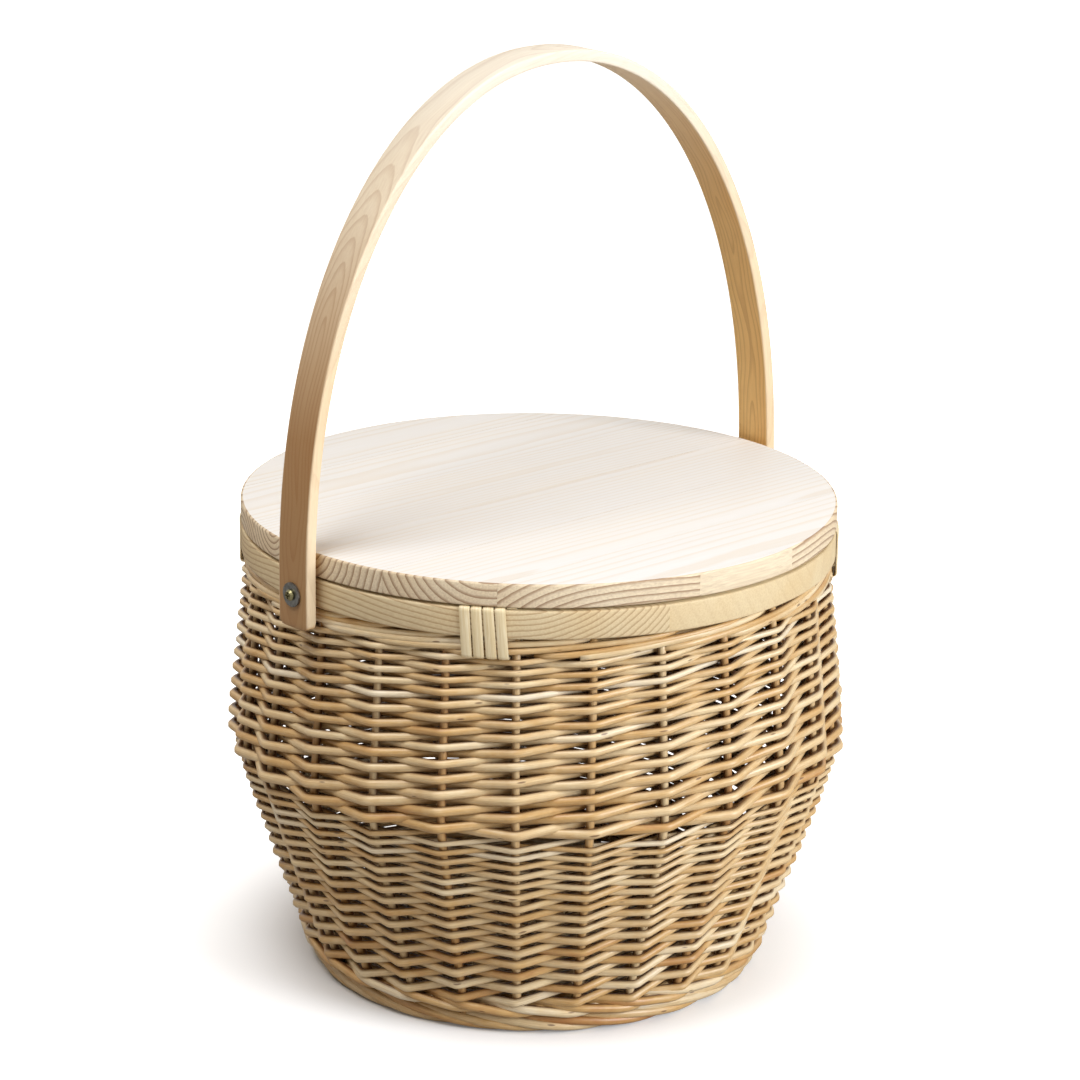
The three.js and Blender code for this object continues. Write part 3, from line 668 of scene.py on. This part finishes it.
def top_border():
    """One stroke for each stake: out from behind it, up to the right, and in under the ring. Three
    rows go round inside the stakes."""
    bottom, rise, steps = 0.2502, 0.0097, 24
    rod_radius, span = 0.0021, 3.3
    tucked_depth, out = 0.0068, 0.0042
    row_z, row_rise, row_gap, row_steps = 0.2523, 0.0034, 0.0023, 4 * STAKE_COUNT
    rods = Rods(10)
    for index in range(STAKE_COUNT):
        radius = rod_radius * rng.normal(1.0, 0.06)
        bays = span * rng.normal(1.0, 0.04)
        begin = stake_angle(index + rng.normal(0.0, 0.1))
        tucked = index % 5 != 2
        path = []
        for t in np.linspace(0, 1, steps):
            start_in = min(t / 0.13, 1) if tucked else 1
            end_in = min((1 - t) / 0.12, 1)
            depth = tucked_depth - out * math.sin(math.pi / 2 * min(start_in, end_in))
            z = bottom + rise * t + 0.0003 * math.sin(9 * t + index)
            path.append(polar(wall_radius(z) - depth, begin + BAY * bays * t, z))
        sizes = np.linspace(radius * 1.04, radius * 0.86, steps)
        rods.add(path, sizes, np.clip(rng.normal(0.55, 0.15), 0, 1))
    for row in range(3):
        path = []
        for k in range(row_steps + 3):
            angle = TURN * k / row_steps + row
            z = row_z + row_rise * row + 0.0003 * math.sin(5 * angle + row)
            path.append(polar(stake_radius(z) - STAKE_RADIUS - row_gap, angle, z))
        rods.add(path, rod_radius, 0.4 + 0.1 * row)
    finish_piece(rods.make("top_border_rods", ROD), "basket", "top_border")


stake_rods()
bottom_wale()
foot_border()
top_border()

# Base: sticks three through four, with two rods paired round them
BASE_RADIUS = 0.1325
BASE_RIM_Z = WALL_BOTTOM + 0.0054
BASE_DOME = 0.006
STICK_RADIUS = 0.00225
STICK_PITCH = 0.0049
PAIR_RADIUS = 0.0017
PAIR_GAP = 0.0002
PAIR_START = 0.019
SPOKE_COUNT = 14


def base_level(r):
    return BASE_RIM_Z + BASE_DOME * (1 - r / BASE_RADIUS)


def base_sticks():
    """Four sticks pass over three at the middle, then fan out evenly. Each is made as two halves."""
    crossing, fan_run, over, steps = 0.018, 0.03, 0.0012, 12
    reach = BASE_RADIUS - 0.005
    upward = np.tile([0.0, 0.0, 1.0], (steps, 1))
    rods = Rods()
    for axis, count in ((0, 4), (1, 3)):
        for k in range(count):
            place = k - (count - 1) / 2
            for side in (-1, 1):
                path = []
                for r in np.linspace(0, reach, steps):
                    fan = min(max((r - crossing) / fan_run, 0), 1)
                    spread = place * TURN / SPOKE_COUNT * fan
                    x = side * r * math.cos(spread)
                    y = r * math.sin(spread) + place * STICK_PITCH * (1 - fan)
                    z = base_level(r) + (over if axis == 0 else -over) * (1 - fan)
                    path.append((x, y, z) if axis == 0 else (-y, x, z))
                rods.add(path, STICK_RADIUS, rng.uniform(0.2, 0.7), upward)
    finish_piece(rods.make("base_stick_rods", STAKE), "basket", "base_sticks")


def base_weave():
    """Two rods wind outwards, one over each stick where the other goes under it."""
    steps, sideways = 3, 0.0008
    lift_size = (STICK_RADIUS + PAIR_RADIUS) * 0.92
    width = BASE_RADIUS - PAIR_START
    passes = int(width / (2 * PAIR_RADIUS + PAIR_GAP)) * SPOKE_COUNT
    rods = Rods(6)
    for strand, side in enumerate((1, -1)):
        path = []
        for k in range(passes * steps + 1):
            passed = k / steps
            r = PAIR_START + (width - PAIR_RADIUS) * passed / passes
            angle = TURN * (passed + 0.5) / SPOKE_COUNT
            lift = side * lift_size * math.cos(math.pi * passed)
            slip = side * sideways * math.sin(math.pi * passed)
            path.append(polar(r + slip, angle, base_level(r) + lift))
        upward = np.tile([0.0, 0.0, 1.0], (len(path), 1))
        rods.add(path, PAIR_RADIUS, 0.5 + 0.15 * strand, upward)
    finish_piece(rods.make("base_weave_rods", ROD), "basket", "base_weave")


base_sticks()
base_weave()


# Turned and cut wood
def quarter(centre, radius, start, steps=4):
    """Points of a quarter round, from the angle start, anticlockwise in radius and height."""
    angles = [start + math.pi / 2 * i / steps for i in range(steps + 1)]
    return [(centre[0] + radius * math.cos(a), centre[1] + radius * math.sin(a)) for a in angles]


def turned(profile, capped):
    """A bmesh of a profile of (radius, z) turned about Z.

    A capped profile has a flat face at both ends, and one that isn't closes on itself."""
    sides = 256
    made = bmesh.new()
    rings = []
    for r, z in profile:
        rings.append([made.verts.new(polar(r, TURN * (i + 0.5) / sides, z)) for i in range(sides)])
    strips = list(zip(rings, rings[1:]))
    if capped:
        made.faces.new(list(reversed(rings[0])))
        made.faces.new(rings[-1])
    else:
        strips.append((rings[-1], rings[0]))
    for low, high in strips:
        for i in range(sides):
            j = (i + 1) % sides
            face = made.faces.new((low[i], low[j], high[j], high[i]))
            face.smooth = True
            face.material_index = 1 if capped else 0
    return made


def cut(made, axis, place, keep=0):
    """Cuts the mesh across an axis; keep is the side that stays, or 0 for both."""
    point, normal = [0, 0, 0], [0, 0, 0]
    point[axis] = place
    normal[axis] = -keep if keep else 1
    everything = [*made.verts, *made.edges, *made.faces]
    result = bmesh.ops.bisect_plane(
        made, geom=everything, plane_co=point, plane_no=normal, clear_outer=bool(keep)
    )["geom_cut"]
    if keep:
        edges = [item for item in result if isinstance(item, bmesh.types.BMEdge)]
        for face in bmesh.ops.edgeloop_fill(made, edges=edges)["faces"]:
            face.material_index = 1


def wooden(name, made, materials, axis, hearts):
    """Turns the bmesh into an object whose faces know the heart of their board.

    hearts lists each board's far edge, then where its heart lies across the boards and in height,
    and its growth rings in a metre."""
    layer = made.faces.layers.float_vector.new("heart")
    for face in made.faces:
        place = face.calc_center_median()[axis]
        face[layer] = next(heart[1:] for heart in hearts if place <= heart[0])
    mesh = bpy.data.meshes.new(name)
    made.to_mesh(mesh)
    made.free()
    for material in materials:
        mesh.materials.append(material)
    mesh.set_sharp_from_angle(angle=math.radians(35))
    piece = bpy.data.objects.new(name, mesh)
    bpy.context.scene.collection.objects.link(piece)
    return piece


def rim_ring():
    """The ring's boards lie across X. Its edges are rounded."""
    soft, quarter_turn = 0.0014, math.pi / 2
    inner, outer = RING_INNER + soft, LID_RADIUS - soft
    low, high = RING_BOTTOM + soft, RING_TOP - soft
    made = turned([
        *quarter((outer, low), soft, -quarter_turn),
        *quarter((outer, high), soft, 0),
        *quarter((inner, high), soft, quarter_turn),
        *quarter((inner, low), soft, 2 * quarter_turn),
    ], False)
    for x in RING_JOINTS:
        cut(made, 0, x)
    hearts = [
        (RING_JOINTS[0], -0.140, 0.340, 320),
        (RING_JOINTS[1], 0.200, 0.400, 120),
        (LID_RADIUS, 0.300, 0.200, 60),
    ]
    piece = wooden("rim_ring_wood", made, [RING_FACE], 0, hearts)
    finish_piece(piece, "basket", "rim_ring")


def lid_boards():
    """The lid's boards lie across Y, with a hairline glue joint between them. Each has the heart of its
    own tree, across the boards and in height, and its growth rings in a metre."""
    soft = 0.0013
    joints = [-LID_RADIUS, *[FIRST_JOINT + BOARD_WIDTH * k for k in range(BOARD_COUNT - 1)], LID_RADIUS]
    hearts = [
        (-0.300, 0.100, 100),
        (-0.165, 0.244, 240),
        (-0.112, 0.312, 215),
        (0.003, 0.302, 235),
        (0.038, 0.300, 260),
        (0.094, 0.262, 240),
        (0.150, 0.318, 250),
    ]
    for k, heart in enumerate(hearts):
        made = turned([
            *quarter((LID_RADIUS - soft, LID_BOTTOM + soft), soft, -math.pi / 2),
            *quarter((LID_RADIUS - soft, LID_TOP - soft), soft, 0),
        ], True)
        for y, keep in ((joints[k], 1), (joints[k + 1], -1)):
            if abs(y) < LID_RADIUS:
                cut(made, 1, y + HALF_GLUE_LINE * keep, keep)
        piece = wooden(f"lid_board_{k + 1}_wood", made, [LID_FACE, LID_EDGE], 1, [(LID_RADIUS, *heart)])
        finish_piece(piece, "lid", f"lid_board_{k + 1}")


def soften(name, material, width, angle):
    """A solid that stays in view gets its material, and small rounds on its sharp edges."""
    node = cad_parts[name]
    node.data.materials.clear()
    node.data.materials.append(material)
    rounds = node.modifiers.new("edge", "BEVEL")
    rounds.width = width
    rounds.segments = 2
    rounds.limit_method = "ANGLE"
    rounds.angle_limit = math.radians(angle)


rim_ring()
lid_boards()
for side in ("left", "right"):
    soften(f"lid_batten_{side}", LID_EDGE, 0.001, 30)
    soften(f"pivot_screw_{side}", BRASS, 0.00025, 40)
    soften(f"outer_washer_{side}", STEEL, 0.00025, 40)
    soften(f"spacer_washer_{side}", STEEL, 0.00025, 40)


# Handle: the strap swept along its legs and arch
def handle_line():
    """Middle line of the strap as (x, z), with close steps where its ends are rounded."""
    steps = 120
    height = HANDLE_TOP - HANDLE_THICKNESS / 2 - ARCH_START_Z
    leg = [HANDLE_BOTTOM + rise for rise in (0, 0.0003, 0.001, 0.0022, 0.0045, 0.012)]
    points = [(HANDLE_MIDDLE_X, z) for z in [*leg, ARCH_START_Z]]
    power = 2 / ARCH_POWER
    for i in range(1, steps):
        u = math.pi * i / steps
        x = HANDLE_MIDDLE_X * math.copysign(abs(math.cos(u)) ** power, math.cos(u))
        points.append((x, ARCH_START_Z + height * math.sin(u) ** power))
    points += [(-HANDLE_MIDDLE_X, z) for z in [ARCH_START_Z, *reversed(leg)]]
    return np.array(points)


def strap_section(soft):
    """The strap's outline, across it and through it, clockwise and with rounded edges."""
    half_wide, half_thick = HANDLE_WIDTH / 2 - soft, HANDLE_THICKNESS / 2 - soft
    section = []
    for number, (across, out) in enumerate(((1, 1), (-1, 1), (-1, -1), (1, -1))):
        section += quarter((across * half_wide, out * half_thick), soft, number * math.pi / 2, 3)
    return section[::-1]


def handle_strap():
    soft, corner = 0.0011, 0.0045
    line = handle_line()
    step = np.gradient(line, axis=0)
    step /= np.linalg.norm(step, axis=1, keepdims=True)
    outward = np.stack([step[:, 1], -step[:, 0]], axis=1)
    along = np.concatenate([[0], np.cumsum(np.linalg.norm(np.diff(line, axis=0), axis=1))])
    section = strap_section(soft)
    points, wood = [], []
    for i, (x, z) in enumerate(line):
        from_end = min(along[i], along[-1] - along[i], corner)
        trim = corner - math.sqrt(corner**2 - (corner - from_end) ** 2)
        for y, out in section:
            y_here = y - math.copysign(trim, y)
            points.append((x + outward[i, 0] * out, y_here, z + outward[i, 1] * out))
            wood.append((along[i], y_here, out))
    faces = tube_faces(len(line), len(section))
    smooth = [True] * (len(faces) - 2) + [False, False]
    strap = mesh_object("handle_strap_wood", points, faces, [HANDLE_WOOD], smooth, {"wood": wood})
    strap.data.set_sharp_from_angle(angle=math.radians(40))
    finish_piece(strap, "handle", "handle_strap")


handle_strap()


# Cane bindings: flat cane wound over the ring and the top border
CANE_WIDTH = 0.0063
CANE_PITCH = 0.0068
CANE_THICKNESS = 0.001
CANE_TURNS = 4
CANE_BOTTOM = 0.2492
CANE_LIFT = 0.0008
# Outline of the cane: across it in half widths, and out from its middle in thicknesses
CANE_SECTION = [
    (-1, -0.35), (1, -0.35),
    (1, 0.1), (0.75, 0.38), (0.3, 0.5),
    (-0.3, 0.5), (-0.75, 0.38), (-1, 0.1),
]
# The bindings stand to one side of these stakes
CANE_STAKES = (3, 10, 16, 23)


def cane_loop():
    """One turn of the cane round the ring and border as (radius, z), starting at the outer top edge."""
    corner, quarter_turn = 0.0022, math.pi / 2
    inner, outer = RING_INNER - CANE_LIFT + corner, LID_RADIUS + CANE_LIFT - corner
    low, high = CANE_BOTTOM + corner, RING_TOP + CANE_LIFT - corner
    return np.array([
        *quarter((outer, high), corner, 0)[::-1],
        *quarter((outer, low), corner, -quarter_turn)[::-1],
        *quarter((inner, low), corner, 2 * quarter_turn)[::-1],
        *quarter((inner, high), corner, quarter_turn)[::-1],
    ])


def cane_binding(number, stake):
    loop = cane_loop()
    closed = np.concatenate([loop, loop[:1]])
    ahead = np.roll(loop, -1, axis=0) - np.roll(loop, 1, axis=0)
    normal = np.stack([-ahead[:, 1], ahead[:, 0]], axis=1)
    normal /= np.linalg.norm(normal, axis=1, keepdims=True)
    length = np.concatenate([[0], np.cumsum(np.linalg.norm(np.diff(closed, axis=0), axis=1))])
    beside = STAKE_RADIUS + 0.0011 + CANE_WIDTH / 2 + CANE_PITCH * (CANE_TURNS - 1)
    first = stake_angle(stake) - beside / LID_RADIUS
    sizes = rng.normal(1.0, 0.03, CANE_TURNS + 2)
    lean = rng.normal(0, 0.0004, CANE_TURNS + 2)
    points, rod = [], []
    for turn in range(CANE_TURNS):
        last_turn = turn == CANE_TURNS - 1
        for i in range(len(closed) if last_turn else len(loop)):
            k = i % len(loop)
            part = length[i] / length[-1]
            travel = (turn + part - 0.5) * CANE_PITCH + lean[turn] * math.sin(TURN * part)
            half = CANE_WIDTH / 2 * (sizes[turn] * (1 - part) + sizes[turn + 1] * part)
            for across, out in CANE_SECTION:
                angle = first + (travel + across * half) / LID_RADIUS
                r, z = loop[k] + normal[k] * out * CANE_THICKNESS
                points.append(polar(r, angle, z))
                rod.append((across * half, out * CANE_THICKNESS, (turn + part) * length[-1] + number))
    faces = tube_faces(len(points) // len(CANE_SECTION), len(CANE_SECTION))
    smooth = [True] * len(faces)
    piece = mesh_object(f"cane_binding_{number}_strip", points, faces, [CANE], smooth, {"rod": rod})
    piece.data.set_sharp_from_angle(angle=math.radians(50))
    finish_piece(piece, "basket", f"cane_binding_{number}")


for number, stake in enumerate(CANE_STAKES, 1):
    cane_binding(number, stake)

# Floor, light and camera. Screen right, depth and up are the directions in the photograph
right = Vector((math.cos(VIEW_TURN), -math.sin(VIEW_TURN), 0))
deep = Vector((math.sin(VIEW_TURN), math.cos(VIEW_TURN), 0))
up = Vector((0, 0, 1))
# The floor fades to white between these distances from a point a little to the left of the basket
FADE_START = 0.114
FADE_END = 0.262
FADE_SHIFT = 0.025
FLOOR_HALF = 9
WHITE = (1, 1, 1, 1)
# The floor's own colours: for the light that it throws back, and to the camera
FLOOR_GREY = (0.5, 0.5, 0.5, 1)
FLOOR_PALE = (0.8, 0.8, 0.8, 1)
# Light that the room sends back into the shade
ROOM_LIGHT = (0.214, 0.154, 0.090, 1)


def floor_material():
    """Pale floor that keeps the shadow near the basket, and is white to the camera further out.
    Seen from below it is clear."""
    shader = Shader("floor_white", 0.9, 0.0)
    seen = shader.node("ShaderNodeLightPath").outputs["Is Camera Ray"]
    shader.colour(shader.mix(seen, FLOOR_GREY, FLOOR_PALE))
    moved = {0: shader.place(), 1: right * FADE_SHIFT}
    away = shader.node("ShaderNodeVectorMath", moved, operation="ADD").outputs["Vector"]
    away = shader.node("ShaderNodeVectorMath", {0: away}, operation="LENGTH").outputs["Value"]
    fade = shader.levels(away, FADE_START, FADE_END)
    plain = shader.surface.outputs[0]
    glow = shader.node("ShaderNodeEmission", {"Color": WHITE, "Strength": fade}).outputs[0]
    bright = shader.node("ShaderNodeAddShader", {0: plain, 1: glow}).outputs[0]
    shown = shader.node("ShaderNodeMixShader", {0: seen, 1: plain, 2: bright}).outputs[0]
    clear = shader.node("ShaderNodeBsdfTransparent").outputs[0]
    below = shader.node("ShaderNodeNewGeometry").outputs["Backfacing"]
    final = shader.node("ShaderNodeMixShader", {0: below, 1: shown, 2: clear}).outputs[0]
    shader.put(final, shader.tree.nodes["Material Output"].inputs["Surface"])
    return shader.material


def floor():
    mesh = bpy.data.meshes.new("floor")
    corners = [(x * FLOOR_HALF, y * FLOOR_HALF, 0) for x, y in ((-1, -1), (1, -1), (1, 1), (-1, 1))]
    mesh.from_pydata(corners, [], [(0, 1, 2, 3)])
    mesh.materials.append(floor_material())
    made = bpy.data.objects.new("floor", mesh)
    bpy.context.scene.collection.objects.link(made)


def studio_world():
    """White to the camera, in reflections and through clear things; soft warm light elsewhere."""
    world = bpy.data.worlds.new("studio")
    bpy.context.scene.world = world
    world.use_nodes = True
    tree = world.node_tree
    rays = tree.nodes.new("ShaderNodeLightPath").outputs
    seen = rays["Is Camera Ray"]
    for kind in ("Is Glossy Ray", "Is Transmission Ray"):
        most = tree.nodes.new("ShaderNodeMath")
        most.operation = "MAXIMUM"
        tree.links.new(seen, most.inputs[0])
        tree.links.new(rays[kind], most.inputs[1])
        seen = most.outputs[0]
    colour = tree.nodes.new("ShaderNodeMix")
    colour.data_type = "RGBA"
    tree.links.new(seen, colour.inputs[0])
    colour.inputs[6].default_value = ROOM_LIGHT
    colour.inputs[7].default_value = WHITE
    tree.links.new(colour.outputs[2], tree.nodes["Background"].inputs["Color"])


def lamp(name, place, aim, size, power, tint):
    """A round area lamp; place is to the right, towards the camera and up, in metres."""
    data = bpy.data.lights.new(name, "AREA")
    data.shape = "DISK"
    data.size = size
    data.energy = power
    data.color = tint
    made = bpy.data.objects.new(name, data)
    made.location = right * place[0] - deep * place[1] + up * place[2]
    made.rotation_euler = (made.location - Vector(aim)).to_track_quat("Z", "Y").to_euler()
    bpy.context.scene.collection.objects.link(made)


def photo_camera():
    data = bpy.data.cameras.new("photo_camera")
    data.sensor_width = SENSOR_WIDTH
    data.lens = LENS
    data.clip_start, data.clip_end = 0.05, 60
    target = right * VIEW_TARGET[0] + up * VIEW_TARGET[1]
    backward = up * math.sin(VIEW_ELEVATION) - deep * math.cos(VIEW_ELEVATION)
    upward = backward.cross(right)
    level_x = right * math.cos(VIEW_ROLL) + upward * math.sin(VIEW_ROLL)
    level_y = upward * math.cos(VIEW_ROLL) - right * math.sin(VIEW_ROLL)
    axes = Matrix((level_x, level_y, backward)).transposed()
    camera = bpy.data.objects.new("photo_camera", data)
    camera.matrix_world = Matrix.Translation(target + backward * VIEW_DISTANCE) @ axes.to_4x4()
    bpy.context.scene.collection.objects.link(camera)
    bpy.context.scene.camera = camera


floor()
studio_world()
lamp("key", (3.03, 1.76, 1.46), (0, 0, 0.22), 2.0, 138, (0.97, 1.0, 1.05))
lamp("top", (-0.8, 0.8, 2.50), (0, 0, 0.2), 1.6, 45, (0.98, 1.0, 1.03))
photo_camera()
bpy.context.scene.view_settings.view_transform = "Standard"
